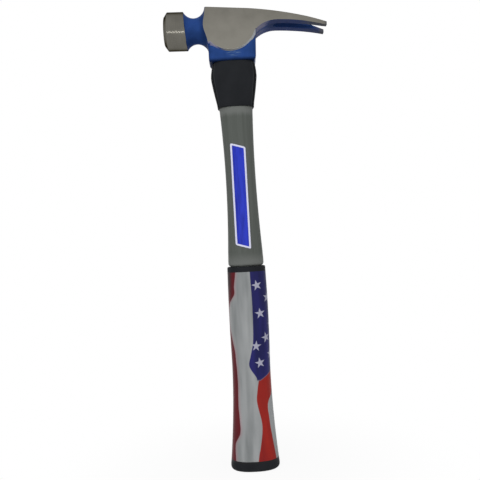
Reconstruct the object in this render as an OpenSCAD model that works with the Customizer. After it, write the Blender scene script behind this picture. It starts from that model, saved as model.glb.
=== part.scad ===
// Framing hammer with a rip claw: a forged steel head bonded on a jacketed fibreglass
// handle, with an overstrike collar under the head and a printed rubber grip.
// The handle stands along Z with its butt on z = 0. The striking face looks towards -X
// and the claw points towards +X. Sizes are in millimetres and degrees.

/* [Overall] */
// Length from the butt to the highest edge of the head
overall_len = 406.4; // [380:0.2:440]
// Turn of the head in the plane of the handle, claw end down
head_hang = 1.6; // [0:0.1:3.5]
// Bow of the handle towards the claw side
handle_bow = 1.7; // [0:0.1:2.5]

/* [Poll and neck] */
// Distance from the middle of the eye to the striking face
face_reach = 58.8; // [55:0.2:64]
// Diameter of the poll
poll_d = 33.2; // [31:0.2:36]
// Diameter of the flat striking face
face_d = 25; // [21:0.5:28]
// Length of the bevel round the face
face_bevel = 3; // [1.5:0.1:4]
// Distance from the middle of the eye to the thinnest place of the neck
neck_place = 31.3; // [30.5:0.1:32.5]
// Diameter of the neck at that place
neck_d = 22.2; // [20:0.2:24]
// Radius of the hollow of the neck, seen from the side
neck_arc = 10; // [9.5:0.1:10.6]
// Lean of that hollow, lower side towards the claw
neck_lean = 4; // [0:0.5:7]
// Diameter of the neck's flare where it runs into the cheeks
flare_d = 41; // [38:0.2:42]

/* [Cheeks and socket] */
// Width over the ground cheeks and the claw
cheek_w = 28.6; // [27.6:0.2:30]
// Distance from the middle of the eye to the front edge of the cheeks
cheek_front = 21.6; // [21:0.1:22.4]
// Height of the front top corner of the cheeks over the head axis
cheek_top = 16.7; // [15.5:0.1:18]
// Fall of the top line towards the claw
top_fall = 3.4; // [2:0.1:5]
// Bevel of the long top edges
top_bevel = 0.9; // [0.5:0.1:2]
// Radius of the round lower edge of the ground cheek
pad_r = 23.2; // [22:0.2:24.4]
// Height of the middle of that round over the head axis
pad_rise = 1.9; // [0:0.1:4]
// Place of the middle of that round towards the face
pad_x = 1.2; // [0:0.1:2]
// Height of the socket's lower end below the head axis
socket_drop = 30; // [27:0.2:33]
// Width of the socket below the cheeks
socket_w = 25.8; // [24.4:0.2:26.8]
// Length of the socket at its lower end
socket_len = 41.4; // [40.6:0.2:42.2]
// Corner rounding of the socket
socket_round = 6; // [4:0.1:7]

/* [Claw] */
// Distance from the middle of the eye to the claw tips
claw_reach = 83.6; // [78:0.2:88]
// Height of the claw tips over the head axis, on top
tip_rise = 1.4; // [0:0.1:3]
// Thickness of the claw at the tips
tip_t = 3; // [2.4:0.1:4]
// Distance from the middle of the eye to the top of the throat
throat_x = 40; // [37:0.2:43]
// Height of the top of the throat over the head axis
throat_z = 3.6; // [2:0.1:5]
// Radius of the throat between claw and socket
throat_r = 26; // [22:0.5:30]
// Length of the nail slot from the middle of its root to the claw tips
slot_len = 40.6; // [36:0.2:44]
// Width of the nail slot at the claw tips, on top
slot_mouth = 15; // [11:0.2:16]
// Width of the nail slot where it starts to flare towards the tips, on top
slot_knee = 8.4; // [7:0.2:10]
// Length of that flare
slot_flare = 11.6; // [8:0.2:15]
// Width of the nail slot at its root, on top
slot_root = 2.4; // [1.8:0.1:3.4]
// Width of the nail slot at its root, on the underside
slot_under = 9.4; // [7:0.2:13]
// Width over the two claw tips
tip_w = 24.6; // [23:0.2:26.4]
// Length of the taper towards the claw tips
tip_taper = 30; // [20:1:36]

/* [Handle] */
// Length of the eye along the head
eye_len = 25.6; // [23.6:0.2:28]
// Width of the eye
eye_w = 16; // [15.2:0.2:17]
// Width of the fibreglass core along the head
core_len = 20; // [18:0.2:22]
// Thickness of the fibreglass core
core_w = 14; // [12:0.2:15]
// Depth of the resin below the top of the eye
resin_dip = 1.5; // [0.8:0.1:3]
// Width of the handle jacket under the head
jacket_top_w = 35.4; // [33.6:0.2:36.4]
// Width of the handle jacket at its waist
waist_w = 26.5; // [25.5:0.2:29]
// Height of the waist over the butt
waist_z = 262; // [245:1:275]
// Width of the handle jacket at the shoulder above the grip
shoulder_w = 31.3; // [30:0.2:33]
// Rounding of that shoulder
shoulder_round = 2.6; // [1:0.1:4]
// Thickness of the handle jacket at its waist
waist_t = 21.4; // [20:0.2:23]
// Thickness of the handle jacket at the shoulder
shoulder_t = 24; // [23:0.2:26]
// Thickness of the handle jacket under the head
jacket_top_t = 22.6; // [21:0.2:23]

/* [Collar] */
// Height of the overstrike collar
collar_h = 38; // [30:0.5:46]
// Width of the collar where it bulges most
collar_w = 40.8; // [39.6:0.2:42]
// Thickness of the collar where it bulges most
collar_t = 28.2; // [27:0.2:31]
// Share of the collar's height at which it bulges most
collar_peak = 0.68; // [0.6:0.01:0.75]
// Wall of the collar at its upper edge
collar_rim = 0.9; // [0.6:0.1:1.4]
// Wall of the collar at its lower edge
collar_lip = 1.1; // [0.8:0.1:2]

/* [Grip] */
// Length of the rubber grip
grip_len = 178.4; // [160:0.2:190]
// Width of the grip at its waist
grip_waist_w = 33.7; // [32.4:0.1:35]
// Thickness of the grip at its waist
grip_waist_t = 27; // [25.6:0.1:29]
// Height of the grip's waist over the butt
grip_waist_z = 92; // [80:1:105]
// Extra width of the swell above that waist
swell = 1.2; // [0.4:0.1:2]
// Width of the flared butt
butt_w = 44; // [40:0.2:46]
// Thickness of the flared butt
butt_t = 32.4; // [30:0.2:35]
// Rounding of the butt edge
butt_round = 3.4; // [2:0.1:6]
// Wall of the grip at its waist
grip_wall = 3.6; // [3:0.1:4]
// Thickness of the closed lower end of the grip
butt_wall = 10; // [8:0.5:14]
// Thickness of the printed film round the grip
film_t = 0.35; // [0.25:0.05:0.5]
// Height of the bare rubber below the film
film_low = 8; // [7:0.2:12]
// Height of the bare rubber above the film
film_top = 4.6; // [3:0.2:8]
// Clearance of the grip and the collar on the handle jacket
fit = 0.05; // [0.03:0.01:0.15]

/* [Label] */
// Bare handle between the grip and the label
label_low = 17.3; // [12:0.1:24]
// Bare handle between the label and the collar
label_high = 35.6; // [20:0.2:60]
// Width of the label
label_w = 13.2; // [10:0.2:14]
// Place of the label's middle line towards the claw
label_x = 0.2; // [-1:0.1:2]
// Slant of the label's two ends
label_slant = 17; // [0:1:25]
// Thickness of the label
label_t = 0.15; // [0.1:0.05:0.3]

/* [Hidden] */
$fn = 96;
// Head
head_z = overall_len - max(cheek_top * cos(head_hang) + cheek_front * sin(head_hang),
    poll_d / 2 * cos(head_hang) + (face_reach - face_bevel) * sin(head_hang));
seat_z = head_z - socket_drop;
poll_r = poll_d / 2;
neck_r = neck_d / 2;
pad_bevel = (cheek_w - socket_w) / 2;
// More than the length of the head on either side of the eye
room = claw_reach + face_reach;
wall_x = socket_len / 2 + 1;
flare_end = neck_place - cheek_front + 3;
// The top of the claw breaks from the straight top line into an arc that ends at the tips
arc_x = 16;
arc_z = cheek_top - (arc_x + cheek_front) * tan(top_fall);
arc_dx = claw_reach - arc_x;
arc_dz = tip_rise - arc_z;
arc_fall = top_fall + 1.5;
top_arc = (pow(arc_dx, 2) + pow(arc_dz, 2))
    / (2 * (-arc_dx * sin(arc_fall) - arc_dz * cos(arc_fall)));
// The underside leaves the throat in an arc that ends under the tips
under_dx = claw_reach - throat_x;
under_dz = throat_z - tip_rise + tip_t;
under_arc = (pow(under_dx, 2) + pow(under_dz, 2)) / (2 * under_dz);
taper_x = claw_reach - tip_taper;
// The nail slot's vee has its upper edge a little below the top of the claw
slot_x = claw_reach - slot_len;
slot_top = arc_z - top_arc * cos(arc_fall)
    + sqrt(pow(top_arc, 2) - pow(slot_x - arc_x + top_arc * sin(arc_fall), 2));
vee_z = slot_top - 1.5;
vee_fall = (vee_z - tip_rise + 0.3) / slot_len;
vee_slope = (slot_under - slot_root + 0.4) / 2 / (vee_z - throat_z);
slot_taper = (slot_knee - slot_root) / 2 / (slot_len - slot_flare);
knee_x = claw_reach - slot_flare;
// Handle
sides = 44;
core_low = butt_wall + 4;
resin_z = head_z + cheek_top - cheek_front * tan(top_fall) - resin_dip;
jacket_rows = 20;
row_h = (seat_z - grip_len) / jacket_rows;
spigot_rows = 8;
film_rows = 16;
film_z = grip_len - film_top;
label_z0 = grip_len + label_low;
label_z1 = seat_z - collar_h - label_high;

// Middle of the bowed handle at height z
function bow(z) = handle_bow * sin(180 * min(z, seat_z) / seat_z);
// Rounded oval ring at height z, with half width a and half thickness b
function oval(a, b, z) = [for (i = [0:sides - 1])
    let (c = cos(360 * i / sides), s = sin(360 * i / sides))
    [bow(z) + a * sign(c) * pow(abs(c), 0.84), b * sign(s) * pow(abs(s), 0.84), z]];
// Value between a and b, leaving a level
function ease(a, b, t) = a + (b - a) * t * t;
function clip(t) = min(1, max(0, t));
// Half width and half thickness of the jacket above its shoulder
function jacket_a(z) = z > waist_z
    ? ease(waist_w, jacket_top_w, clip((z - waist_z) / (seat_z - waist_z))) / 2
    : ease(waist_w, shoulder_w, clip((waist_z - z) / (waist_z - grip_len - 8))) / 2;
function jacket_b(z) = z > waist_z
    ? ease(waist_t, jacket_top_t, clip((z - waist_z) / (seat_z - waist_z))) / 2
    : ease(waist_t, shoulder_t, clip((waist_z - z) / (waist_z - grip_len - 8))) / 2;
// Swell of the grip above its waist and flare below it
function swell_at(z) = z > grip_waist_z
    ? swell * sin(180 * (z - grip_waist_z) / (grip_len - grip_waist_z)) / 2 : 0;
function flare_at(z) = pow(clip((grip_waist_z - z) / grip_waist_z), 2);
function grip_a(z) = grip_waist_w / 2 + swell_at(z) + (butt_w - grip_waist_w) / 2 * flare_at(z);
function grip_b(z) = grip_waist_t / 2 + swell_at(z) + (butt_t - grip_waist_t) / 2 * flare_at(z);
// Half width and half thickness of the jacket's spigot inside the grip
spigot_a = grip_waist_w / 2 - grip_wall;
spigot_b = grip_waist_t / 2 - grip_wall;
// Heights in n steps
function steps(z0, z1, n) = [for (i = [0:n]) z0 + (z1 - z0) * i / n];

// Solid through a stack of rings that have the same number of points
module loft(rings) {
    n = len(rings[0]);
    m = len(rings);
    polyhedron(
        points = [for (r = rings) each r],
        faces = concat(
            [[for (i = [0:n - 1]) i]],
            [for (k = [0:m - 2]) for (i = [0:n - 1]) [k * n + i, (k + 1) * n + i, k * n + (i + 1) % n]],
            [for (k = [0:m - 2]) for (i = [0:n - 1])
                [k * n + (i + 1) % n, (k + 1) * n + i, (k + 1) * n + (i + 1) % n]],
            [[for (i = [n - 1:-1:0]) (m - 1) * n + i]]));
}

// Extrusion of a side view across the hammer
module across(w) {
    rotate([90, 0, 0])
        linear_extrude(height = w, center = true)
            children();
}

// Outline with straight sides and round ends
module obround(l, w) {
    square([l - w, w], center = true);
    for (s = [-1, 1])
        translate([s * (l - w) / 2, 0])
            circle(d = w);
}

// Poll and neck: a turned blank, and in it the leaning hollow of the neck
module poll_and_neck() {
    intersection() {
        rotate([0, 90, 0])
            rotate_extrude()
                polygon([[0, -face_reach], [face_d / 2, -face_reach], [poll_r, face_bevel - face_reach],
                    [poll_r, -neck_place], [flare_d / 2 + 1, -neck_place], [flare_d / 2 + 1, 0], [0, 0]]);
        translate([-neck_place, 0, 0])
            rotate([0, 90 - neck_lean, 0])
                rotate_extrude()
                    difference() {
                        polygon([[0, -room], [poll_r + 6, -room], [poll_r + 6, 0],
                            [flare_d / 2, 0], [flare_d / 2, flare_end], [0, flare_end]]);
                        translate([neck_r + neck_arc, 0])
                            circle(r = neck_arc);
                    }
    }
}

// Room for the poll and the neck, whose flare stays within the cheeks
module neck_room() {
    intersection() {
        straight_bar();
        translate([-neck_place, -room, -room])
            cube(2 * room);
    }
    translate([-neck_place - room, -room, -room])
        cube([room, 2 * room, 2 * room]);
}

// Straight bar with bevelled top edges, from ahead of the cheeks to beyond the claw
module straight_bar() {
    translate([arc_x, 0, arc_z])
        rotate([0, top_fall, 0])
            rotate([90, 0, 90])
                linear_extrude(height = 2 * room, center = true)
                    polygon([[-cheek_w / 2, -room], [cheek_w / 2, -room],
                        [cheek_w / 2, -top_bevel], [cheek_w / 2 - top_bevel, 0],
                        [top_bevel - cheek_w / 2, 0], [-cheek_w / 2, -top_bevel]]);
}

// What is cut away over the arched claw, whose bevels are slightly wider than the bar's
module arch_cut() {
    flat = cheek_w / 2 - 1.06 * top_bevel;
    difference() {
        translate([arc_x - 5, -cheek_w, -cheek_w])
            cube([room, 2 * cheek_w, 3 * cheek_w]);
        translate([arc_x - top_arc * sin(arc_fall), 0, arc_z - top_arc * cos(arc_fall)])
            rotate([90, 0, 0])
                rotate_extrude($fn = 200)
                    polygon([[top_arc - room, -flat - cheek_w], [top_arc - cheek_w, -flat - cheek_w],
                        [top_arc, -flat], [top_arc, flat],
                        [top_arc - cheek_w, flat + cheek_w], [top_arc - room, flat + cheek_w]]);
    }
}

// Bar from the front of the cheeks to the claw tips
module forged_bar() {
    difference() {
        intersection() {
            straight_bar();
            translate([-cheek_front, -room, -room])
                cube(2 * room);
        }
        arch_cut();
    }
}

// Ground cheek with its round, bevelled lower edge
module cheek_pad() {
    translate([-pad_x, 0, pad_rise])
        rotate([90, 0, 0])
            rotate_extrude()
                polygon([[0, -cheek_w / 2 - 1], [pad_r - 1, -cheek_w / 2 - 1],
                    [pad_r + pad_bevel, 1 - socket_w / 2], [pad_r + pad_bevel, socket_w / 2 - 1],
                    [pad_r - 1, cheek_w / 2 + 1], [0, cheek_w / 2 + 1]]);
}

// Room of the cheeks, from the neck to the back wall of the socket
module cheek_room() {
    intersection() {
        union() {
            cheek_pad();
            translate([-room, -room, pad_rise])
                cube(2 * room);
        }
        translate([wall_x - room, -room, -room])
            cube([room, 2 * room, 2 * room]);
    }
}

// Room of the rip claw, with its throat and its narrowed tips
module claw_room() {
    intersection() {
        across(2 * cheek_w)
            difference() {
                translate([wall_x - 2, throat_z - cheek_w / 2])
                    square([claw_reach - wall_x + 2, 2 * cheek_w]);
                translate([throat_x, throat_z - throat_r])
                    circle(r = throat_r);
                intersection() {
                    translate([throat_x, throat_z - under_arc])
                        circle(r = under_arc, $fn = 200);
                    translate([throat_x, throat_z - cheek_w])
                        square([room, 2 * cheek_w]);
                }
            }
        linear_extrude(height = 2 * room, center = true)
            polygon([[0, -cheek_w], [taper_x, -cheek_w], [taper_x, -cheek_w / 2 - 0.15],
                [claw_reach + 1, -tip_w / 2], [claw_reach + 1, tip_w / 2],
                [taper_x, cheek_w / 2 + 0.15], [taper_x, cheek_w], [0, cheek_w]]);
    }
}

// Cheeks and slotted rip claw, cut from the forged bar
module cheeks_and_claw() {
    difference() {
        intersection() {
            forged_bar();
            union() {
                cheek_room();
                claw_room();
            }
        }
        nail_slot();
    }
}

// Outline of the nail slot's vee, h below its upper edge
function vee_ring(h) = let (r = slot_root / 2 - 0.2 + vee_slope * h, e = slot_len + 8) concat(
    [[slot_x + e, -r - slot_taper * e, vee_z - vee_fall * e - h],
        [slot_x + e, r + slot_taper * e, vee_z - vee_fall * e - h]],
    [for (t = [90:20:270]) [slot_x + r * cos(t), r * sin(t), vee_z - vee_fall * r * cos(t) - h]]);

// Nail slot: a tapering slit with a flared mouth, which opens to a vee on the underside
module nail_slot() {
    linear_extrude(height = 2 * room, center = true) {
        polygon([[slot_x, -slot_root / 2], [knee_x, -slot_knee / 2],
            [claw_reach + slot_flare, slot_knee / 2 - slot_mouth],
            [claw_reach + slot_flare, slot_mouth - slot_knee / 2],
            [knee_x, slot_knee / 2], [slot_x, slot_root / 2]]);
        translate([slot_x, 0])
            circle(d = slot_root);
    }
    loft([vee_ring(cheek_w / 2), vee_ring(0)]);
}

// Rounded rectangle ring of the socket at height h, d inside its surface
function socket_ring(h, d) = [for (k = [0:3]) for (j = [0:7])
    let (t = 90 * k + 90 * j / 7, r = socket_round - d,
        sx = k == 0 || k == 3 ? socket_back(h) - socket_round : socket_round - socket_len / 2,
        sy = (socket_w / 2 - socket_round) * (k < 2 ? 1 : -1))
    [sx + r * cos(t), sy + r * sin(t), h]];
// Back wall of the socket, leaning out up to the throat
function socket_back(h) = socket_len / 2 + 1.2 * h / socket_drop;

// Socket that takes the handle
module socket() {
    translate([0, 0, seat_z])
        loft([socket_ring(0, 0.8), socket_ring(0.8, 0), socket_ring(socket_drop - 6, 0)]);
}

// Forged head, ground on the poll, the cheeks and the claw sides
module head() {
    color("SteelBlue")
    difference() {
        union() {
            translate([0, 0, head_z])
                rotate([0, head_hang, 0]) {
                    intersection() {
                        poll_and_neck();
                        neck_room();
                    }
                    cheeks_and_claw();
                }
            socket();
        }
        translate([0, 0, seat_z - 5])
            linear_extrude(height = socket_drop + 40)
                obround(eye_len, eye_w);
    }
}

// Pultruded fibreglass core, from the grip to the top of the eye
module handle_core() {
    color("Khaki")
    translate([0, 0, core_low])
        linear_extrude(height = resin_z + 0.2 - core_low)
            obround(core_len, core_w);
}

// Moulded jacket: bowed handle with a spigot for the grip, round the core
module handle_jacket() {
    color("DimGray")
    difference() {
        loft(jacket_rings());
        translate([0, 0, core_low])
            linear_extrude(height = overall_len)
                obround(core_len, core_w);
    }
}

function jacket_rings() = concat(
    [for (z = steps(butt_wall, grip_len, spigot_rows)) oval(spigot_a, spigot_b, z)],
    [for (t = [0:15:90])
        let (z = grip_len + 0.25 + shoulder_round * (1 - cos(t)), d = shoulder_round * (1 - sin(t)))
        oval(jacket_a(z) - d, jacket_b(z) - d, z)],
    [for (z = jacket_steps()) oval(jacket_a(z), jacket_b(z), z)]);
// Heights of the rings over the shoulder
function jacket_steps() = steps(grip_len + 5, seat_z, jacket_rows);

// Bonding resin between the core and the eye
module eye_resin() {
    color("Goldenrod")
    difference() {
        translate([0, 0, seat_z])
            linear_extrude(height = resin_z - seat_z)
                obround(eye_len, eye_w);
        translate([0, 0, seat_z - 5])
            linear_extrude(height = overall_len)
                obround(core_len, core_w);
    }
}

// Ring of the collar at height z, part way from its wall on the jacket to its widest place
function collar_ring(z, wall, part) = oval(
    (jacket_a(z) + wall) * (1 - part) + collar_w / 2 * part,
    (jacket_b(z) + wall) * (1 - part) + collar_t / 2 * part, z);

// Overstrike collar: a bulging rubber boot under the head
module overstrike_collar() {
    low = seat_z - collar_h;
    color("Black")
    difference() {
        loft(concat(
            [collar_ring(low, collar_lip - 0.4, 0)],
            [for (t = [0.02, 0.12, 0.3, 0.5, 0.7, 0.9])
                collar_ring(low + collar_h * collar_peak * t, collar_lip, t * (0.85 + 0.15 * t))],
            [for (t = [0:15:90]) let (z = low + collar_h * (collar_peak + (1 - collar_peak) * sin(t)))
                collar_ring(z, collar_rim, cos(t))]));
        loft([for (z = steps(low - 2, seat_z + 1, 10)) oval(jacket_a(z) + fit, jacket_b(z) + fit, z)]);
    }
}

// Outer rings of the grip, d inside its surface
function grip_ring(z, d) = oval(grip_a(z) - d, grip_b(z) - d, z);

// Rubber grip with a closed, flared butt and a shallow seat for the film
module grip_sleeve() {
    color("Black")
    difference() {
        loft(concat(
            [grip_ring(0, butt_round + 1)],
            [for (t = [15:15:90]) let (z = 0.3 + butt_round * (1 - cos(t)))
                grip_ring(z, butt_round * (1 - sin(t)))],
            [grip_ring(film_low, 0)],
            [for (z = film_steps()) grip_ring(z, film_t)],
            [grip_ring(film_z, 0), grip_ring(grip_len - 1, 0), grip_ring(grip_len - 0.3, 0.3),
                grip_ring(grip_len, 1)]));
        loft([for (z = steps(butt_wall, grip_len + 1, spigot_rows))
            oval(spigot_a + fit, spigot_b + fit, z)]);
    }
}

// Heights of the rings along the film
function film_steps() = steps(film_low, film_z, film_rows);

// Printed film shrunk round the grip
module grip_film() {
    color("Firebrick")
    difference() {
        loft([for (z = film_steps()) grip_ring(z, 0)]);
        loft(concat([grip_ring(film_low - 1, film_t)], [for (z = film_steps()) grip_ring(z, film_t)],
            [grip_ring(film_z + 1, film_t)]));
    }
}

// Heights of the jacket's rings behind the label and next to it
function label_steps() = [for (z = jacket_steps())
    if (z > label_z0 - label_w - row_h && z < label_z1 + label_w + row_h) z];

// Label on the -Y side of the handle, with slanted ends
module handle_label() {
    color("RoyalBlue")
    intersection() {
        difference() {
            loft([for (z = label_steps()) oval(jacket_a(z) + label_t, jacket_b(z) + label_t, z)]);
            loft([for (z = label_steps()) oval(jacket_a(z), jacket_b(z), z)]);
        }
        translate([0, -10, 0])
            across(20)
                polygon([for (p = [[-1, label_z0], [1, label_z0], [1, label_z1], [-1, label_z1]])
                    [p[0] * label_w / 2 + label_x, p[1] - p[0] * label_w / 2 * tan(label_slant)]]);
    }
}

head();
handle_core();
handle_jacket();
eye_resin();
overstrike_collar();
grip_sleeve();
grip_film();
handle_label();
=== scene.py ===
"""Looks of a framing hammer: ground and painted head, black collar, grey handle, printed grip."""
import math

import bmesh
import bpy
from mathutils import Matrix, Vector
from mathutils.bvhtree import BVHTree


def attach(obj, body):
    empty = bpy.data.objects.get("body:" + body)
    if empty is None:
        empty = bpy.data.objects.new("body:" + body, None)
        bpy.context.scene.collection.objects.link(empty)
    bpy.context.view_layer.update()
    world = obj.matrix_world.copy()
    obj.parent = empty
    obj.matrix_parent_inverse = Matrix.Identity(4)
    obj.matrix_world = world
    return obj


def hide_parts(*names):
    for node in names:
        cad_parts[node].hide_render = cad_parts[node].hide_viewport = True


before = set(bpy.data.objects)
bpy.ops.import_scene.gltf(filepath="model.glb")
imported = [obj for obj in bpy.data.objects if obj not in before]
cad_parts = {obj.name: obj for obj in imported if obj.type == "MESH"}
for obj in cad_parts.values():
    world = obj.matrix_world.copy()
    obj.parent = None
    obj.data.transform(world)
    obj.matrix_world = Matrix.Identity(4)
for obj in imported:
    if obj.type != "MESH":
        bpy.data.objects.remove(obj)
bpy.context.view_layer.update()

# Sizes as in the solids, in metres and radians. Those from POLL_R to CLAW_TAPER are in the head's frame,
# which has its origin on the poll's axis and hangs a little, claw down. SECTION_POWER gives the oval
# sections their form, and LABEL_SLANT is the slope of the label's ends.
HEAD_HANG = math.radians(1.6)
HEAD_AXIS_Z = 0.388249
POLL_R = 0.0166
NECK_X = -0.0313
CHEEK_HALF = 0.0143
CHEEK_FRONT = 0.0216
PAD_MIDDLE = (-0.0012, 0.0019)
PAD_R = 0.0232
CLAW_REACH = 0.0836
CLAW_TAPER_X = 0.0536
CLAW_TAPER = 0.002
SEAT_Z = 0.358249
SOCKET_HALF = (0.0207, 0.0129)
SOCKET_ROUND = 0.006
SOCKET_CHAMFER = 0.0008
HANDLE_BOW = 0.0017
SECTION_POWER = 0.84
COLLAR_LOW = 0.320249
FILM_LOW = 0.008
FILM_TOP = 0.1738
LABEL_X = 0.0002
LABEL_HALF = 0.0066
LABEL_LOW = 0.1957
LABEL_TOP = 0.284649
LABEL_SLANT = math.tan(math.radians(17))
LABEL_T = 0.00015

# Small forms that only the dressed pieces have, in metres and radians. A lower power is squarer. A socket
# end has what is added to the chamfer's rise and inset there. The collar's narrowing is a share.
EDGE_ROUND = 0.0003
SOCKET_POWER = 0.55
SOCKET_CLAW_END = (0.0040, 0.0007)
SOCKET_POLL_END = (0.0014, 0.0003)
COLLAR_POWER = 0.62
COLLAR_HANG = 0.0016
COLLAR_NARROW = 0.065
COLLAR_NARROW_RUN = 0.014
COLLAR_CREASE = math.radians(31)
CREASE_HALF = 0.022
CREASE_RISE = 0.0003
LABEL_ROUND = 0.0013

# Angles between faces: of one flat, of an edge that gets broken, of an edge that stays sharp in the shading
FLAT = math.radians(0.2)
HARD_EDGE = math.radians(28)
SHARP_EDGE = math.radians(32)
SHARP_RUBBER = math.radians(60)

# Distances in a mesh: of points that are one, across a sliver, and of a point that lies on a cut
SAME_POINT = 2e-6
SLIVER = 1e-5
ON_CUT = 1e-7

# Colours as they show under plain light, linear
STEEL = (0.240, 0.230, 0.201)
STEEL_DULL_AND_SHADED = (0.168, 0.161, 0.140)
STEEL_HIGHLIGHT = (0.330, 0.350, 0.380)
STEEL_DARK = (0.090, 0.092, 0.096)
TURNED = (0.160, 0.154, 0.134)
TURNED_DULL = (0.124, 0.119, 0.103)
PAINT_BLUE = (0.022, 0.061, 0.222)
PAINT_DEEP = (0.016, 0.044, 0.155)
PAINT_IN_SHADE = (0.006, 0.014, 0.048)
PAINT_EDGE_HIGHLIGHT = (0.075, 0.135, 0.320)
PAINT_SHEEN = (0.245, 0.235, 0.330)
PAINT_RUBBED = (0.040, 0.046, 0.115)
PAINT_GLINT = (0.16, 0.25, 0.36)
RUBBER_BLACK = (0.0120, 0.0132, 0.0155)
RUBBER_WORN = (0.0175, 0.0190, 0.0218)
RUBBER_SIDE_SHADE = (0.0030, 0.0034, 0.0038)
RUBBER_CREASE_HIGHLIGHT = (0.0420, 0.0440, 0.0460)
JACKET_GREY = (0.098, 0.107, 0.098)
JACKET_DARK = (0.078, 0.086, 0.077)
JACKET_LIGHT = (0.150, 0.158, 0.150)
CORE_FIBRE = (0.42, 0.36, 0.20)
RESIN_AMBER = (0.16, 0.10, 0.035)
PRINT_WHITE = (0.345, 0.355, 0.360)
PRINT_SHADE = (0.200, 0.212, 0.214)
PRINT_RED_IN_SHADE = (0.118, 0.012, 0.017)
PRINT_RED = (0.300, 0.020, 0.014)
PRINT_RED_DEEP = (0.190, 0.013, 0.013)
PRINT_PINK = (0.330, 0.190, 0.210)
PRINT_NAVY = (0.020, 0.019, 0.125)
PRINT_NAVY_DEEP = (0.012, 0.013, 0.064)
BLACK_BAND_AND_SHADE = (0.0130, 0.0135, 0.0150)
STAR_WHITE = (0.36, 0.36, 0.45)
LABEL_BLUE = (0.026, 0.044, 0.500)
LABEL_DEEP = (0.012, 0.020, 0.270)
LABEL_BORDER = (0.66, 0.66, 0.82)
FLOOR_WHITE = (0.8, 0.8, 0.8)


class Finish:
    """A procedural material: a principled shader with nodes that read the object's own coordinates."""

    def __init__(self, name, **constants):
        self.material = bpy.data.materials.new(name)
        self.material.use_nodes = True
        self.tree = self.material.node_tree
        self.tree.nodes.clear()
        self.output = self.node("ShaderNodeOutputMaterial")
        self.shader = self.node("ShaderNodeBsdfPrincipled")
        self.link(self.shader.outputs[0], self.output.inputs[0])
        self.place = self.node("ShaderNodeTexCoord").outputs["Object"]
        for socket, value in constants.items():
            self.set(socket.replace("_", " "), value)

    def node(self, kind, **settings):
        made = self.tree.nodes.new(kind)
        for key, value in settings.items():
            setattr(made, key, value)
        return made

    def link(self, source, target):
        self.tree.links.new(source, target)

    def feed(self, target, value):
        """Puts a number, a colour or another node's output into a socket."""
        if isinstance(value, bpy.types.NodeSocket):
            self.link(value, target)
        elif isinstance(value, tuple) and len(value) == 3 and target.type == "RGBA":
            target.default_value = (*value, 1)
        else:
            target.default_value = value

    def set(self, socket, value):
        self.feed(self.shader.inputs[socket], value)

    def math(self, operation, a, b=0.0):
        made = self.node("ShaderNodeMath", operation=operation)
        self.feed(made.inputs[0], a)
        self.feed(made.inputs[1], b)
        return made.outputs[0]

    def axes(self):
        split = self.node("ShaderNodeSeparateXYZ")
        self.link(self.place, split.inputs[0])
        return split.outputs

    def stretch(self, scale):
        made = self.node("ShaderNodeMapping")
        self.link(self.place, made.inputs["Vector"])
        made.inputs["Scale"].default_value = scale
        return made.outputs[0]

    def noise(self, scale, detail=3.0, roughness=0.5, place=None):
        made = self.node("ShaderNodeTexNoise")
        self.link(place or self.place, made.inputs["Vector"])
        made.inputs["Scale"].default_value = scale
        made.inputs["Detail"].default_value = detail
        made.inputs["Roughness"].default_value = roughness
        return made.outputs["Fac"]

    def span(self, value, low, high, to_low=0.0, to_high=1.0, smooth=False):
        """Maps low..high to to_low..to_high, held at both ends."""
        made = self.node("ShaderNodeMapRange", interpolation_type="SMOOTHSTEP" if smooth else "LINEAR")
        for socket, number in zip(made.inputs, (value, low, high, to_low, to_high)):
            self.feed(socket, number)
        return made.outputs[0]

    def wander(self, value, noise, reach):
        """A place moved by noise, so that a border there isn't straight."""
        return self.math("ADD", value, self.math("MULTIPLY", noise, reach))

    def away(self, value, middle):
        """Distance of a place from a middle, on either side."""
        return self.math("ABSOLUTE", self.math("SUBTRACT", value, middle))

    def both(self, *shares):
        """Share that is full only where all of the given shares are."""
        result = shares[0]
        for share in shares[1:]:
            result = self.math("MULTIPLY", result, share)
        return result

    def course(self, value, stops):
        """Smooth course through (value, degrees) stops, for an edge that wanders along the grip."""
        made = self.node("ShaderNodeValToRGB")
        made.color_ramp.interpolation = "CARDINAL"
        points = made.color_ramp.elements
        while len(points) < len(stops):
            points.new(0.5)
        for point, (at, degrees) in zip(points, sorted(stops)):
            point.position = at
            point.color = (*(3 * [(degrees + 180) / 360]), 1)
        self.feed(made.inputs[0], value)
        return self.math("SUBTRACT", self.math("MULTIPLY", made.outputs[0], 360.0), 180.0)

    def mix(self, share, a, b):
        made = self.node("ShaderNodeMix", data_type="RGBA")
        self.feed(made.inputs[0], share)
        self.feed(made.inputs[6], a)
        self.feed(made.inputs[7], b)
        return made.outputs[2]

    def bump(self, height, depth, strength=1.0):
        made = self.node("ShaderNodeBump")
        made.inputs["Strength"].default_value = strength
        made.inputs["Distance"].default_value = depth
        self.link(height, made.inputs["Height"])
        self.link(made.outputs[0], self.shader.inputs["Normal"])


# Ground steel, from and to: painted shade darker towards the top and along the claw, worn at the tips
STEEL_SHADE_Z = (0.370, 0.402)
STEEL_CLAW_SHADE_X = (0.025, 0.050)
TIP_WORN_X = (0.0812, 0.0862)
TIP_WANDER = 0.004


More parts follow.
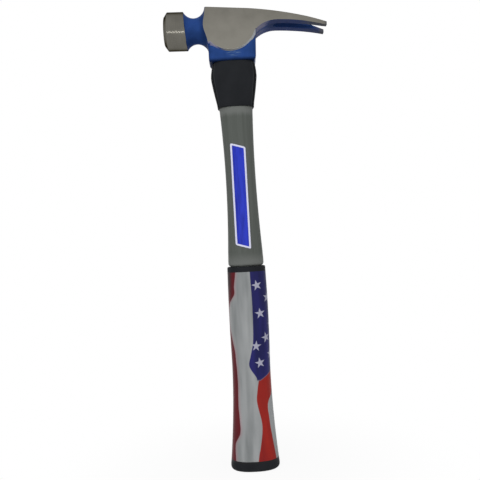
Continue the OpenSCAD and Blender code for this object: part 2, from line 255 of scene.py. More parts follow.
def ground_steel():
    """Ground steel: fine grain along the head, dull patches, painted shade towards the top and along the
    claw, darker at the claw's tips.
    """
    steel = Finish("ground_steel", Metallic=1.0, Specular_Tint=(0.45, 0.45, 0.45))
    x, _, z = steel.axes()
    grain = steel.noise(1.0, 4.0, 0.6, steel.stretch((260, 1400, 3200)))
    cloud = steel.noise(70, 3.0)
    # Painted shade: the steel is darkened towards the top of the head and along the claw, over its random
    # dull patches
    patches_and_shade = steel.math("ADD", cloud, steel.span(z, *STEEL_SHADE_Z, 0.44, -0.08))
    patches_and_shade = steel.math("SUBTRACT", patches_and_shade, steel.span(x, *STEEL_CLAW_SHADE_X, 0.0, 0.15))
    tone = steel.mix(steel.span(patches_and_shade, 0.3, 0.8), STEEL_DULL_AND_SHADED, STEEL)
    tone = steel.mix(steel.span(grain, 0.35, 0.7, 0.0, 0.4), tone, STEEL)
    worn = steel.span(steel.wander(x, cloud, TIP_WANDER), *TIP_WORN_X, smooth=True)
    steel.set("Base Color", steel.mix(worn, tone, STEEL_DARK))
    steel.set("Roughness", steel.span(steel.math("ADD", grain, cloud), 0.7, 1.3, 0.30, 0.44))
    steel.bump(grain, 0.00003, 0.25)
    return steel.material


def turned_steel():
    """Turned poll: fine rings round its axis, nearly polished."""
    steel = Finish("turned_steel", Metallic=1.0, Specular_Tint=(0.2, 0.2, 0.2))
    ring = steel.noise(1.0, 3.0, 0.5, steel.stretch((3000, 60, 60)))
    cloud = steel.noise(90, 3.0)
    share = steel.math("ADD", steel.math("MULTIPLY", ring, 0.5), steel.math("MULTIPLY", cloud, 0.5))
    steel.set("Base Color", steel.mix(steel.span(share, 0.35, 0.65), TURNED_DULL, TURNED))
    steel.set("Roughness", steel.span(cloud, 0.3, 0.7, 0.17, 0.21))
    return steel.material


# Specular level of the enamel, which has hardly any shine
PAINT_GLOSS = 0.006

# Bevel round the cheek, from and to: a painted highlight on the paint fades into full blue, paint turns to
# steel, a painted highlight brightens the steel
BEVEL_PAINT_X = (-0.0145, -0.0100)
BEVEL_STEEL_X = (-0.0125, -0.0040)
BEVEL_HIGHLIGHT_X = (-0.010, 0.016)


def bright_edge():
    """Bevel round the cheek: paint with a painted highlight towards the poll, ground steel with a painted
    highlight towards the claw.
    """
    edge = Finish("bright_edge", Specular_IOR_Level=PAINT_GLOSS)
    x = edge.axes()[0]
    scratch = edge.noise(700, 3.0, 0.6)
    # Painted highlight: the bevel's steel turns bright and bluish towards the claw
    tone = edge.mix(edge.span(x, *BEVEL_HIGHLIGHT_X, smooth=True), STEEL_DULL_AND_SHADED, STEEL_HIGHLIGHT)
    tone = edge.mix(edge.span(scratch, 0.35, 0.7, 0.0, 0.5), tone, STEEL)
    ground = edge.span(x, *BEVEL_STEEL_X, smooth=True)
    # Painted highlight: the bevel's paint turns pale lavender towards the poll
    paint = edge.mix(edge.span(x, *BEVEL_PAINT_X, smooth=True), PAINT_SHEEN, PAINT_BLUE)
    edge.set("Base Color", edge.mix(ground, paint, tone))
    edge.set("Metallic", ground)
    edge.set("Roughness", edge.span(scratch, 0.3, 0.7, 0.3, 0.45))
    return edge.material


# Painted shade in the corners of the paint, from and to: the socket's lower edge, the neck's flare, the nail
# slot
LOW_EDGE_Z = (SEAT_Z + 0.0012, SEAT_Z + 0.0042)
LOW_EDGE_WANDER = 0.002
FLARE_X = (-0.0290, -0.0235)
FLARE_END_X = (-0.0215, -0.0205)
SLOT_Y = (0.0044, 0.0054)
SLOT_X = (0.027, 0.037)


def dark_corners(paint, x, y, z, cloud):
    """Share of shade in the corners of the painted forging."""
    low_edge = paint.span(paint.wander(z, cloud, LOW_EDGE_WANDER), *LOW_EDGE_Z, 0.85, 0.0, smooth=True)
    flare = paint.both(paint.span(x, *FLARE_X, smooth=True), paint.span(x, *FLARE_END_X, 0.45, 0.0))
    slot = paint.both(paint.span(paint.math("ABSOLUTE", y), *SLOT_Y, 0.6, 0.0, smooth=True),
                      paint.span(x, *SLOT_X, smooth=True))
    return paint.math("MAXIMUM", paint.math("MAXIMUM", low_edge, flare), slot)


# Wear of the paint under the claw, from and to: beside the slot and along the tines, and a painted highlight
# in the throat; the far side keeps more of the paint and gets less of the highlight
BESIDE_SLOT_Y = (0.0046, 0.0056)
RUBBED_X = (0.028, 0.036)
TINE_X = (0.058, 0.074)
TINE_Y = (-0.004, 0.004)
THROAT_START_X = (0.0205, 0.0235)
THROAT_END_X = (0.0265, 0.0360)
THROAT_Z = (0.368, 0.377)
THROAT_Y = (0.000, 0.006)
THROAT_FAR_Y = (0.002, 0.008)
FAR_SHARE = 0.3
WEAR_WANDER = 0.012


def worn_claw(paint, colour, x, y, z):
    """Paint under the claw: rubbed along the tines, towards bare steel at their ends, with a painted
    highlight in the throat.
    """
    aside = paint.math("ABSOLUTE", y)
    along = paint.wander(x, paint.math("SUBTRACT", paint.noise(160, 3.0), 0.5), WEAR_WANDER)
    beside_slot = paint.span(aside, *BESIDE_SLOT_Y, smooth=True)
    band = paint.both(paint.span(along, *RUBBED_X, 0.0, 0.6, smooth=True), beside_slot)
    colour = paint.mix(band, colour, PAINT_RUBBED)
    tine = paint.both(paint.span(along, *TINE_X, 0.0, 0.75, smooth=True), beside_slot,
                      paint.span(y, *TINE_Y, 1.0, FAR_SHARE))
    colour = paint.mix(tine, colour, STEEL_DARK)
    # Painted highlight: the throat's paint turns pale, nearer side more than the far side
    throat = paint.both(paint.span(x, *THROAT_START_X, smooth=True),
                        paint.span(along, *THROAT_END_X, 0.85, 0.0, smooth=True),
                        paint.span(z, *THROAT_Z, smooth=True),
                        paint.span(aside, *THROAT_Y),
                        paint.span(y, *THROAT_FAR_Y, 1.0, FAR_SHARE))
    return paint.mix(throat, colour, PAINT_SHEEN)


# Painted highlight down the back edge of the socket, from and to
BACK_HIGHLIGHT_X = (0.0200, 0.0212)
BACK_HIGHLIGHT_END_X = (0.0222, 0.0228)
BACK_HIGHLIGHT_TOP_Z = (0.372, 0.376)
BACK_HIGHLIGHT_LOW_Z = (SEAT_Z + 0.002, SEAT_Z + 0.005)

# Painted glints on the near side of the socket: their middle, where they fade from it, and where that side
# starts
GLINT_X = 0.0015
GLINT_Z = SEAT_Z + 0.0068
GLINT_FADE_X = (0.002, 0.007)
GLINT_FADE_Z = (0.001, 0.004)
GLINT_Y = (-0.0110, -0.0120)

# Tips of the claw, where most of the paint has gone, from and to
TIP_BARE_X = (0.0795, 0.0830)


def blue_paint():
    """Blue enamel over rough forged skin: painted shade in corners, worn at the claw, painted highlights and
    glints.
    """
    paint = Finish("blue_paint", Specular_IOR_Level=PAINT_GLOSS)
    x, y, z = paint.axes()
    skin = paint.noise(420, 3.0)
    cloud = paint.noise(85, 2.0)
    colour = paint.mix(paint.span(cloud, 0.25, 0.6), PAINT_DEEP, PAINT_BLUE)
    # Painted shade in the corners: the socket's lower edge, the neck's flare and the nail slot
    colour = paint.mix(dark_corners(paint, x, y, z, cloud), colour, PAINT_IN_SHADE)
    colour = worn_claw(paint, colour, x, y, z)
    # Painted highlight: a pale blue line down the socket's back edge
    back_highlight = paint.both(paint.span(x, *BACK_HIGHLIGHT_X, 0.0, 0.55), paint.span(x, *BACK_HIGHLIGHT_END_X, 1.0, 0.0),
                           paint.span(z, *BACK_HIGHLIGHT_TOP_Z, 1.0, 0.0), paint.span(z, *BACK_HIGHLIGHT_LOW_Z))
    colour = paint.mix(back_highlight, colour, PAINT_EDGE_HIGHLIGHT)
    bare = paint.span(paint.wander(x, cloud, TIP_WANDER), *TIP_BARE_X, 0.0, 0.8, smooth=True)
    colour = paint.mix(bare, colour, STEEL_DARK)
    # Painted glints: short pale streaks on the socket's near side
    streak = paint.noise(1.0, 2.0, 0.5, paint.stretch((170, 170, 1900)))
    glint = paint.both(paint.span(paint.away(x, GLINT_X), *GLINT_FADE_X, 1.0, 0.0),
                       paint.span(paint.away(z, GLINT_Z), *GLINT_FADE_Z, 1.0, 0.0),
                       paint.span(y, *GLINT_Y),
                       paint.span(streak, 0.50, 0.66, 0.0, 0.9))
    paint.set("Base Color", paint.mix(glint, colour, PAINT_GLINT))
    paint.set("Roughness", paint.span(skin, 0.3, 0.7, 0.26, 0.40))
    paint.bump(skin, 0.00006, 0.5)
    return paint.material


def black_rubber(name, deep=RUBBER_BLACK, worn=RUBBER_WORN, gloss=0.06):
    """Moulded black rubber with a fine matt skin."""
    rubber = Finish(name, Specular_IOR_Level=gloss)
    skin = rubber.noise(1900, 2.0)
    cloud = rubber.noise(60, 3.0)
    rubber.set("Base Color", rubber.mix(rubber.span(cloud, 0.35, 0.75), deep, worn))
    rubber.set("Roughness", rubber.span(cloud, 0.3, 0.7, 0.46, 0.6))
    rubber.bump(skin, 0.00004, 0.5)
    return rubber.material


# Paler bands of the handle, from and to: below the collar, and a painted highlight above the grip
PALE_TOP_Z = (COLLAR_LOW - 0.0090, COLLAR_LOW - 0.0030)
HIGHLIGHT_LOW_Z = (FILM_TOP + 0.009, FILM_TOP + 0.020)
BAND_WANDER = 0.004


def grey_jacket():
    """Satin grey moulding with faint lengthwise flow lines, paler below the collar, with a painted highlight
    above the grip.
    """
    jacket = Finish("grey_jacket", Specular_IOR_Level=0.10)
    flow = jacket.noise(1.0, 4.0, 0.55, jacket.stretch((420, 420, 14)))
    skin = jacket.noise(1500, 2.0)
    up = jacket.wander(jacket.axes()[2], flow, BAND_WANDER)
    # Paler below the collar; above the grip the pale band is a painted highlight
    band = jacket.math("MAXIMUM", jacket.span(up, *PALE_TOP_Z, 0.0, 0.85, smooth=True),
                         jacket.span(up, *HIGHLIGHT_LOW_Z, 0.80, 0.0, smooth=True))
    colour = jacket.mix(jacket.span(flow, 0.3, 0.7), JACKET_DARK, JACKET_GREY)
    jacket.set("Base Color", jacket.mix(band, colour, JACKET_LIGHT))
    jacket.set("Roughness", jacket.span(flow, 0.3, 0.7, 0.40, 0.52))
    jacket.bump(skin, 0.00003, 0.4)
    return jacket.material


def plain_skin(name, colour, roughness):
    """Inner piece that shows only from above: cast resin or cut fibres."""
    inner = Finish(name)
    speck = inner.noise(900, 3.0)
    deep = tuple(c * 0.6 for c in colour)
    inner.set("Base Color", inner.mix(inner.span(speck, 0.3, 0.7), deep, colour))
    inner.set("Roughness", inner.span(speck, 0.3, 0.7, roughness - 0.08, roughness + 0.08))
    inner.bump(speck, 0.0001, 0.5)
    return inner.material


# Pale border of the label: its width and half of its soft edge
LABEL_RIM = 0.0015
RIM_SOFT = 0.00015


def label_print():
    """Deep blue sticker with a pale border along its four sides."""
    label = Finish("label_print", Specular_IOR_Level=0.08)
    x, _, z = label.axes()
    across = label.math("SUBTRACT", x, LABEL_X)
    up = label.math("ADD", z, label.math("MULTIPLY", across, LABEL_SLANT))
    side = label.math("SUBTRACT", LABEL_HALF, label.math("ABSOLUTE", across))
    end = label.math("MINIMUM", label.math("SUBTRACT", up, LABEL_LOW), label.math("SUBTRACT", LABEL_TOP, up))
    rim = label.span(label.math("MINIMUM", side, end), LABEL_RIM - RIM_SOFT, LABEL_RIM + RIM_SOFT, 1.0, 0.0)
    streak = label.noise(1.0, 3.0, 0.5, label.stretch((500, 500, 60)))
    shine = label.math("ADD", label.span(across, -LABEL_HALF, 0.3 * LABEL_HALF, -0.15, 0.15), streak)
    ground = label.mix(label.span(shine, 0.25, 0.7), LABEL_DEEP, LABEL_BLUE)
    label.set("Base Color", label.mix(rim, ground, LABEL_BORDER))
    label.set("Roughness", label.span(streak, 0.3, 0.7, 0.28, 0.38))
    return label.material


# Edges in the film's print: share of the film's height, degrees round the grip from the near side
STRIP_EDGE = ((0.0, -57), (0.10, -60), (0.15, -46), (0.22, -46), (0.30, -50), (0.42, -50), (0.52, -53),
              (0.60, -57), (0.68, -70), (0.76, -80), (0.84, -68), (0.88, -48), (0.93, -46), (1.0, -40))
FIELD_EDGE = ((0.44, 18), (0.50, -6), (0.55, -3), (0.62, 9), (0.80, 13), (1.0, 11))
STRIPE_LEFT = ((0.0, 9), (0.07, 17), (0.17, 27), (0.24, 24), (0.31, 15), (0.36, 16), (0.43, 24), (0.50, 30))
STRIPE_RIGHT = ((0.0, 65), (0.14, 57), (0.24, 52), (0.30, 51), (0.33, 60), (0.36, 77), (0.43, 92),
                (0.50, 100))

# Other places of the print, in degrees and shares: where strip and field end round the back, half of the
# stripe behind, its wave over the film's height in radians and the reach of that wave, half of an edge's
# softness, the pink fringe, and the field's lower hem, which rises between two turns
STRIP_BACK = -118.0
FIELD_BACK = 126.0
BACK_STRIPE_HALF = 21.1
BACK_WAVE = 9.0
BACK_WAVE_REACH = 9.0
EDGE_SOFT = 1.1
FRINGE = 9.0
HEM_TURN = (30.0, 80.0)
HEM_UP = (0.430, 0.475)
HEM_SOFT = 0.004

# Dark places of the film, from and to: painted shade on the far left at the top, and the black band at the
# butt
SHADE_TURN = (-64.0, -50.0)
SHADE_BACK_TURN = (-112.0, -88.0)
SHADE_UP = (0.80, 0.97)
BUTT_BAND_Z = (0.0096, 0.0099)

# Stars on the navy field: degrees round the grip, height in metres, turn in degrees
STARS = ((32, 0.1618, 12), (69, 0.1504, -8), (38, 0.1373, 6), (56, 0.1159, 14), (20, 0.1092, -6),
         (31, 0.0944, 10), (92, 0.1650, 0), (84, 0.1270, 9), (108, 0.1420, -12), (76, 0.1010, 5),
         (110, 0.1120, 8))

# Their radius, half of their edge's softness, the angle from point to point, and the grip's radius there
STAR_R = 0.0048
STAR_SOFT = 0.00012
STAR_POINT = math.radians(72)
GRIP_R = 0.0155


def star_share(film, around, z, star):
    """Share of the print that lies in one five-pointed star."""
    degrees, height, turn = star
    side = film.math("MULTIPLY", film.math("SUBTRACT", around, float(degrees)), math.radians(GRIP_R))
    up = film.math("SUBTRACT", z, height)
    squares = film.math("ADD", film.math("MULTIPLY", side, side), film.math("MULTIPLY", up, up))
    angle = film.math("ADD", film.math("ARCTAN2", side, up), math.radians(turn))
    fold = film.math("PINGPONG", angle, STAR_POINT / 2)
    lean = film.math("COSINE", film.math("SUBTRACT", fold, STAR_POINT))
    edge = film.math("MULTIPLY", film.math("SQRT", squares), lean)
    limit = STAR_R * math.cos(STAR_POINT)
    return film.span(edge, limit - STAR_SOFT, limit + STAR_SOFT, 1.0, 0.0)


def grip_print():
    """Film print of a draped cloth: red and white stripes and a starred navy field, in soft folds; painted
    shade darkens the strip's red and the top far left.
    """
    film = Finish("grip_print", Specular_IOR_Level=0.10)
    x, y, z = film.axes()
    bow = film.math("SINE", film.math("MULTIPLY", z, math.pi / SEAT_Z))
    off_axis = film.math("SUBTRACT", x, film.math("MULTIPLY", bow, HANDLE_BOW))
    turn = film.math("ARCTAN2", off_axis, film.math("MULTIPLY", y, -1.0))
    around = film.math("MULTIPLY", turn, 180 / math.pi)
    up = film.span(z, FILM_LOW, FILM_TOP)

    def right_of(edge):
        return film.span(film.math("SUBTRACT", around, film.course(up, edge)), -EDGE_SOFT, EDGE_SOFT)

    def left_of(edge):
        return film.math("SUBTRACT", 1.0, right_of(edge))

    folds = film.noise(1.0, 2.0, 0.5, film.stretch((110, 110, 16)))
    fold_share = film.span(folds, 0.32, 0.68)
    white = film.mix(fold_share, PRINT_SHADE, PRINT_WHITE)
    # Painted shade: the left strip's red is darkened to maroon on the side that turns away
    red_in_shade = film.mix(fold_share, tuple(c * 0.7 for c in PRINT_RED_IN_SHADE), PRINT_RED_IN_SHADE)
    red = film.mix(fold_share, PRINT_RED_DEEP, PRINT_RED)
    navy = film.mix(fold_share, PRINT_NAVY_DEEP, PRINT_NAVY)

    past_strip = film.math("SUBTRACT", around, film.course(up, STRIP_EDGE))
    strip_back = film.span(around, STRIP_BACK - EDGE_SOFT, STRIP_BACK + EDGE_SOFT)
    strip = film.both(film.span(past_strip, -EDGE_SOFT, EDGE_SOFT, 1.0, 0.0), strip_back)
    fringe = film.both(film.span(past_strip, 0.0, FRINGE, 0.6, 0.0), strip_back)
    hem_height = film.span(around, *HEM_TURN, *HEM_UP)
    above_hem = film.span(film.math("SUBTRACT", up, hem_height), -HEM_SOFT, HEM_SOFT)
    field_back = film.span(around, FIELD_BACK - EDGE_SOFT, FIELD_BACK + EDGE_SOFT, 1.0, 0.0)
    field = film.both(above_hem, right_of(FIELD_EDGE), field_back)
    stripe = film.both(film.math("SUBTRACT", 1.0, above_hem), right_of(STRIPE_LEFT), left_of(STRIPE_RIGHT))
    wave = film.math("SINE", film.math("MULTIPLY", up, BACK_WAVE))
    wave = film.math("MULTIPLY", wave, BACK_WAVE_REACH)
    behind = film.math("PINGPONG", film.math("ADD", film.math("ADD", around, 180.0), wave), 180.0)
    back_stripe = film.span(behind, BACK_STRIPE_HALF - EDGE_SOFT, BACK_STRIPE_HALF + EDGE_SOFT, 1.0, 0.0)

    colour = film.mix(strip, film.mix(fringe, white, PRINT_PINK), red_in_shade)
    colour = film.mix(stripe, colour, red)
    colour = film.mix(back_stripe, colour, red)
    colour = film.mix(field, colour, navy)
    for star in STARS:
        colour = film.mix(film.both(field, star_share(film, around, z, star)), colour, STAR_WHITE)
    # Painted shade on the far left at the top; the black band at the butt is the film's own
    shade = film.both(film.span(around, *SHADE_TURN, 0.85, 0.0), film.span(around, *SHADE_BACK_TURN),
                      film.span(up, *SHADE_UP, smooth=True))
    dark = film.math("MAXIMUM", shade, film.span(z, *BUTT_BAND_Z, 1.0, 0.0))
    film.set("Base Color", film.mix(dark, colour, BLACK_BAND_AND_SHADE))
    film.set("Roughness", film.span(folds, 0.3, 0.7, 0.46, 0.36))
    film.bump(film.noise(1300, 2.0), 0.00002, 0.4)
    return film.material


def merged_copy(node):
    """A mesh with the solid's shape, its loose triangles joined."""
    shape = bmesh.new()
    shape.from_mesh(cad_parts[node].data)
    bmesh.ops.remove_doubles(shape, verts=shape.verts, dist=SAME_POINT)
    bmesh.ops.dissolve_degenerate(shape, dist=SLIVER, edges=shape.edges)
    return shape


def cut_through(shape, place, across):
    """Gives all faces an edge along a plane, without parting the shape."""
    bmesh.ops.bisect_plane(shape, geom=shape.verts[:] + shape.edges[:] + shape.faces[:], dist=ON_CUT,
                           plane_co=place, plane_no=across)


def piece_from(shape, name, node, materials, sharp=SHARP_EDGE):
    """Turns a bmesh into a smooth-shaded piece that stands for a node."""
    for edge in shape.edges:
        if edge.is_manifold and edge.calc_face_angle() > sharp:
            edge.smooth = False
    for face in shape.faces:
        face.smooth = True
    mesh = bpy.data.meshes.new(name)
    shape.to_mesh(mesh)
    shape.free()
    for material in materials:
        mesh.materials.append(material)
    piece = bpy.data.objects.new(name, mesh)
    bpy.context.scene.collection.objects.link(piece)
    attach(piece, "root")
    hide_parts(node)
    return piece


ON_PAINT, ON_GROUND, ON_TURNED, ON_BEVEL = range(4)

# The bevel under the pad, in the head's frame: its end at the poll, its tops at claw and poll, its reach
# from the pad's arc, and how far its faces turn to the side and away from the pad's middle
BEVEL_START = -0.0208
BEVEL_CLAW_TOP = -0.0040
BEVEL_POLL_TOP = -0.0090
BEVEL_REACH = (-0.0003, 0.0016)
BEVEL_SIDEWAYS = (0.5, 0.9)
BEVEL_OUTWARD = 0.4


def on_bevel(middle, normal):
    """Whether a face, in the head's frame, is one of the bevel under the cheek's round pad."""
    from_pad = Vector((middle.x - PAD_MIDDLE[0], 0, middle.z - PAD_MIDDLE[1]))
    top = BEVEL_CLAW_TOP if middle.x > 0 else BEVEL_POLL_TOP
    low, high = BEVEL_REACH
    if middle.x < BEVEL_START or middle.z > top or not low < from_pad.length - PAD_R < high:
        return False
    least, most = BEVEL_SIDEWAYS
    return least < abs(normal.y) < most and normal.dot(from_pad.normalized()) > BEVEL_OUTWARD


# Other limits of the head's finishes: how far a face turns to the poll's end, the side, the top or the tips,
# and how far its middle may lie from the form's own size there
TO_POLL_END = 0.2
TO_SIDE = 0.9
TO_TOP = 0.6
TO_TIPS = 0.7
POLL_SLACK = 0.0004
CHEEK_SLACK = 0.0006
FRONT_SLACK = 0.0004
TIP_SLACK = 0.001


def head_finish(face, to_head):
    """Which finish a face of the head has: turned poll, bevel, ground cheeks and claw, or paint."""
    middle = to_head @ face.calc_center_median()
    normal = to_head.to_3x3() @ face.normal
    if middle.x < NECK_X:
        on_poll = normal.x < -TO_POLL_END or math.hypot(middle.y, middle.z) > POLL_R - POLL_SLACK
        return ON_TURNED if on_poll else ON_PAINT
    if on_bevel(middle, normal):
        return ON_BEVEL
    taper = max(0.0, middle.x - CLAW_TAPER_X) / (CLAW_REACH - CLAW_TAPER_X) * CLAW_TAPER
    on_side = abs(normal.y) > TO_SIDE and abs(middle.y) > CHEEK_HALF - CHEEK_SLACK - taper
    on_top = normal.z > TO_TOP and middle.z > 0.0 and middle.x > -CHEEK_FRONT - FRONT_SLACK
    on_tip = normal.x > TO_TIPS and middle.x > CLAW_REACH - TIP_SLACK
    return ON_GROUND if on_side or on_top or on_tip else ON_PAINT


# Points of the socket's lower edge: how high they lie at most, and how far from the corner's round
LOW_EDGE_RISE = SOCKET_CHAMFER * 1.2
ROUND_SLACK = 0.0002


def square_socket(shape):
    """Squares the socket's corners at its lower edge, and chamfers that edge higher at the two ends."""
    for vert in shape.verts:
        rise = vert.co.z - SEAT_Z
        on_rim = rise < SOCKET_CHAMFER / 2
        reach = SOCKET_ROUND - SOCKET_CHAMFER if on_rim else SOCKET_ROUND
        past = [abs(vert.co[axis]) - SOCKET_HALF[axis] + SOCKET_ROUND for axis in (0, 1)]
        off_round = abs(math.hypot(*past) - reach)
        if rise > LOW_EDGE_RISE or min(past) < -SLIVER or off_round > ROUND_SLACK:
            continue
        towards_end = 1 - max(0.0, past[1]) / reach
        end_rise, end_inset = SOCKET_CLAW_END if vert.co.x > 0 else SOCKET_POLL_END
        for axis in (0, 1):
            share = min(1.0, max(0.0, past[axis]) / reach) ** SOCKET_POWER
            vert.co[axis] += math.copysign(reach * share - past[axis], vert.co[axis])
        if on_rim:
            vert.co.x -= math.copysign(end_inset * towards_end, vert.co.x)
        else:
            vert.co.z += end_rise * towards_end ** 2


def dress_head():
    """The forging, with its finishes and with its hard edges broken."""
    shape = merged_copy("head")
    square_socket(shape)
    bmesh.ops.dissolve_limit(shape, angle_limit=FLAT, verts=shape.verts, edges=shape.edges)
    to_head = (Matrix.Translation((0, 0, HEAD_AXIS_Z)) @ Matrix.Rotation(HEAD_HANG, 4, "Y")).inverted()
    for face in shape.faces:
        face.material_index = head_finish(face, to_head)
    hard = [edge for edge in shape.edges if edge.is_manifold and edge.calc_face_angle() > HARD_EDGE]
    bmesh.ops.bevel(shape, geom=hard, offset=EDGE_ROUND, segments=2, profile=0.5, affect="EDGES",
                    clamp_overlap=False, material=-1)
    finishes = (blue_paint(), ground_steel(), turned_steel(), bright_edge())
    forging = piece_from(shape, "head_forging", "head", finishes)
    forging.modifiers.new("even_shading", "WEIGHTED_NORMAL").keep_sharp = True


def square_ring(ring):
    """Gives a ring of the collar's oval section a flatter front and back, with its width and depth kept."""
    middle = (max(vert.co.x for vert in ring) + min(vert.co.x for vert in ring)) / 2
    half = (max(vert.co.x for vert in ring) - middle, max(vert.co.y for vert in ring))
    for vert in ring:
        for axis, start in ((0, middle), (1, 0.0)):
            reach = vert.co[axis] - start
            share = min(1.0, abs(reach) / half[axis]) ** (COLLAR_POWER / SECTION_POWER)
            vert.co[axis] = start + math.copysign(half[axis] * share, reach)


# Points of the collar: how far they turn outwards on its outside and on a crease, how high its lip reaches,
# and how far round a point may lie from a crease
TO_OUTSIDE = 0.1
TO_CREASE = 0.5
LIP_HEIGHT = 0.001
CREASE_SLACK = 0.002


def flatten_collar(shape):
    """Flattens the collar's front and back, narrows it under the poll and lowers its lip."""
    shape.normal_update()
    rings = {}
    for vert in shape.verts:
        if vert.normal.dot(Vector((vert.co.x, vert.co.y, 0)).normalized()) > TO_OUTSIDE:
            rings.setdefault(round(vert.co.z, 6), []).append(vert)
        if vert.co.z < COLLAR_LOW + LIP_HEIGHT:
            vert.co.z -= COLLAR_HANG
    for height, ring in rings.items():
        square_ring(ring)
        below_head = min(1.0, (SEAT_Z - height) / COLLAR_NARROW_RUN)
        for vert in ring:
            if vert.co.x < 0:
                vert.co.x *= 1 - COLLAR_NARROW * (1 - below_head)


def crease_collar(shape):
    """Raises a crease along each of the collar's four corners."""
    for turn in (COLLAR_CREASE, -COLLAR_CREASE):
        for step in (-CREASE_HALF, 0.0, CREASE_HALF):
            cut_through(shape, (0, 0, 0), (-math.sin(turn + step), math.cos(turn + step), 0))
    shape.normal_update()
    for vert in shape.verts:
        away = Vector((vert.co.x, vert.co.y, 0)).normalized()
        on_crease = abs(math.atan2(abs(vert.co.y), abs(vert.co.x)) - COLLAR_CREASE) < CREASE_SLACK
        if on_crease and vert.normal.dot(away) > TO_CREASE:
            vert.co += CREASE_RISE * away


ON_FRONT, ON_SHADED_SIDE, ON_LIT_CREASE = range(3)


def dress_collar():
    """The rubber boot, with a raised crease on each side of its front and back, a painted highlight on the
    creases and painted shade on its sides.
    """
    shape = merged_copy("overstrike_collar")
    flatten_collar(shape)
    crease_collar(shape)
    # Faces get a finish by where they lie: painted shade on the sides, a painted highlight on the creases
    for face in shape.faces:
        middle = face.calc_center_median()
        turn = math.atan2(abs(middle.y), abs(middle.x)) - COLLAR_CREASE
        if abs(turn) < CREASE_HALF:
            face.material_index = ON_LIT_CREASE
        else:
            face.material_index = ON_SHADED_SIDE if turn < 0 else ON_FRONT
    # The side finish is painted shade, the crease finish a painted highlight
    finishes = (black_rubber("collar_rubber"), black_rubber("collar_side_shade", RUBBER_SIDE_SHADE, RUBBER_BLACK, 0.02),
                black_rubber("collar_crease_highlight", RUBBER_WORN, RUBBER_CREASE_HIGHLIGHT))
    piece_from(shape, "rubber_collar", "overstrike_collar", finishes, sharp=SHARP_RUBBER)


# Steps of the label's mesh across half of its width and along its length, and a place clear of the handle
LABEL_STEPS = (6, 20)
CLEAR_Y = -0.1


def dress_label():
    """The sticker: a slanted strip with rounded corners, laid on the handle."""
    shape = bmesh.new()
    corners = ((-1, LABEL_LOW), (1, LABEL_LOW), (1, LABEL_TOP), (-1, LABEL_TOP))
    shape.faces.new([shape.verts.new((LABEL_X + side * LABEL_HALF, 0, z - side * LABEL_HALF * LABEL_SLANT))
                     for side, z in corners])
    bmesh.ops.bevel(shape, geom=shape.verts[:], offset=LABEL_ROUND, segments=4, profile=0.5,
                    affect="VERTICES", material=-1)
    steps_across, steps_along = LABEL_STEPS
    for k in range(1 - steps_across, steps_across):
        cut_through(shape, (LABEL_X + LABEL_HALF * k / steps_across, 0, 0), (1, 0, 0))
    for k in range(steps_along + 1):
        cut_through(shape, (0, 0, LABEL_LOW + (LABEL_TOP - LABEL_LOW) * k / steps_along), (0, 0, 1))
    handle = merged_copy("handle_jacket")
    surface = BVHTree.FromBMesh(handle)
    handle.free()
    for vert in shape.verts:
        vert.co.y = surface.ray_cast(Vector((vert.co.x, CLEAR_Y, vert.co.z)), Vector((0, 1, 0)))[0].y
    front = bmesh.ops.extrude_face_region(shape, geom=shape.faces[:], use_keep_orig=True)["geom"]
    front_verts = [part for part in front if isinstance(part, bmesh.types.BMVert)]
    bmesh.ops.translate(shape, vec=(0, -LABEL_T, 0), verts=front_verts)
    bmesh.ops.recalc_face_normals(shape, faces=shape.faces)
    piece_from(shape, "blue_label", "handle_label", (label_print(),))


def dress_pieces():
    """All eight pieces: six dressed copies, and core and resin, which only get a material."""
    dress_head()
    dress_collar()
    dress_label()
    for node, name, material in (("handle_jacket", "grey_handle", grey_jacket()),
                                 ("grip_sleeve", "rubber_grip", black_rubber("grip_rubber")),
                                 ("grip_film", "printed_film", grip_print())):
        piece_from(merged_copy(node), name, node, (material,))
    for node, material in (("handle_core", plain_skin("core_fibres", CORE_FIBRE, 0.5)),
                           ("eye_resin", plain_skin("cast_resin", RESIN_AMBER, 0.3))):
        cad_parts[node].data.materials.clear()
        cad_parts[node].data.materials.append(material)


# Camera at the height of the hammer's middle, looking square at the label side
CAMERA_PLACE = (-0.00245, -0.530, 0.201818)
CAMERA_RISE = math.radians(0.002)
CAMERA_ROLL = math.radians(3.260)
CAMERA_LENS = 44.697


def add_camera():
    """The photo's view."""
    camera = bpy.data.objects.new("camera", bpy.data.cameras.new("camera"))
    camera.data.sensor_width = 36
    camera.data.lens = CAMERA_LENS
    camera.data.clip_start = 0.01
    turn = Matrix.Rotation(math.radians(90) + CAMERA_RISE, 4, "X") @ Matrix.Rotation(-CAMERA_ROLL, 4, "Z")
    camera.matrix_world = Matrix.Translation(CAMERA_PLACE) @ turn
    bpy.context.scene.collection.objects.link(camera)
    bpy.context.scene.camera = camera


def add_lamp(name, place, aim, size, power):
    """A rectangular lamp, turned towards its aim."""
    lamp = bpy.data.objects.new(name, bpy.data.lights.new(name, "AREA"))
    lamp.data.shape = "RECTANGLE"
    lamp.data.size, lamp.data.size_y = size
    lamp.data.energy = power
    lamp.location = place
    lamp.rotation_euler = (Vector(aim) - Vector(place)).to_track_quat("-Z", "Y").to_euler()
    bpy.context.scene.collection.objects.link(lamp)
    return lamp


def seen_white(tree):
    """Share that is full for what the camera, mirrors and glass see."""
    light_path = tree.nodes.new("ShaderNodeLightPath")
    share = light_path.outputs["Is Camera Ray"]
    for ray in ("Is Glossy Ray", "Is Transmission Ray"):
        joined = tree.nodes.new("ShaderNodeMath")
        joined.operation = "MAXIMUM"
        tree.links.new(share, joined.inputs[0])
        tree.links.new(light_path.outputs[ray], joined.inputs[1])
        share = joined.outputs[0]
    return share


# Light from the world: from the front to a little past the side, and its strength there
WORLD_FRONT_TO_BACK = (-1.0, 0.3)
WORLD_STRENGTH = (1.15, 0.28)


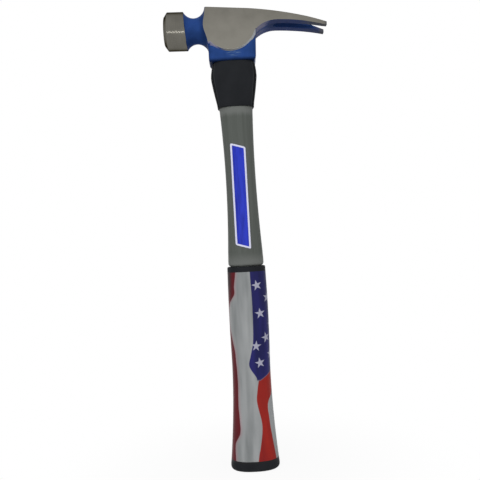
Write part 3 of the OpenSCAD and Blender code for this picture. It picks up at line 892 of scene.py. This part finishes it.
def add_world():
    """White where it is seen; soft light that comes mostly from the front."""
    world = bpy.data.worlds.new("studio")
    world.use_nodes = True
    tree = world.node_tree
    tree.nodes.clear()
    split = tree.nodes.new("ShaderNodeSeparateXYZ")
    tree.links.new(tree.nodes.new("ShaderNodeTexCoord").outputs["Generated"], split.inputs[0])
    level = tree.nodes.new("ShaderNodeMapRange")
    tree.links.new(split.outputs["Y"], level.inputs[0])
    for socket, number in zip(level.inputs[1:5], WORLD_FRONT_TO_BACK + WORLD_STRENGTH):
        socket.default_value = number
    strength = tree.nodes.new("ShaderNodeMix")
    tree.links.new(seen_white(tree), strength.inputs[0])
    tree.links.new(level.outputs[0], strength.inputs[2])
    strength.inputs[3].default_value = 1.0
    background = tree.nodes.new("ShaderNodeBackground")
    background.inputs["Color"].default_value = (1, 1, 1, 1)
    tree.links.new(strength.outputs[0], background.inputs["Strength"])
    output = tree.nodes.new("ShaderNodeOutputWorld")
    tree.links.new(background.outputs[0], output.inputs[0])
    bpy.context.scene.world = world


# The floor's half width, and where its shadow fades to plain white, from and to
FLOOR_HALF = 4
SHADOW_FADE = (0.02, 0.20)


def add_floor():
    """White floor that keeps a faint shadow close to the butt and fades to plain white."""
    shape = bmesh.new()
    bmesh.ops.create_grid(shape, x_segments=1, y_segments=1, size=FLOOR_HALF)
    mesh = bpy.data.meshes.new("floor")
    shape.to_mesh(mesh)
    shape.free()
    floor = bpy.data.objects.new("floor", mesh)
    bpy.context.scene.collection.objects.link(floor)
    white = Finish("floor_white", Base_Color=FLOOR_WHITE, Roughness=0.9, Specular_IOR_Level=0.0)
    from_butt = white.node("ShaderNodeVectorMath", operation="LENGTH")
    white.link(white.place, from_butt.inputs[0])
    fade = white.span(from_butt.outputs["Value"], *SHADOW_FADE, 0.93, 1.0, smooth=True)
    blend = white.node("ShaderNodeMixShader")
    white.link(white.both(fade, seen_white(white.tree)), blend.inputs[0])
    white.link(white.shader.outputs[0], blend.inputs[1])
    white.link(white.node("ShaderNodeEmission").outputs[0], blend.inputs[2])
    white.link(blend.outputs[0], white.output.inputs[0])
    mesh.materials.append(white.material)


# Lamps: place, aim, size, power. The softbox isn't mirrored. The strip is only mirrored, for the poll's line
# of light.
FRONT_SOFTBOX = ((-0.25, -1.3, 0.75), (0, 0, 0.25), (0.8, 0.8), 6.0)
POLL_STRIP = ((-0.092, -0.53, 0.215), (-0.092, 0, 0.389), (0.36, 0.016), 0.22)


def add_studio():
    """Camera, world, floor and lamps."""
    add_camera()
    add_world()
    add_floor()
    add_lamp("front_softbox", *FRONT_SOFTBOX).visible_glossy = False
    add_lamp("poll_strip", *POLL_STRIP).visible_diffuse = False
    bpy.context.scene.view_settings.view_transform = "Standard"


dress_pieces()
add_studio()
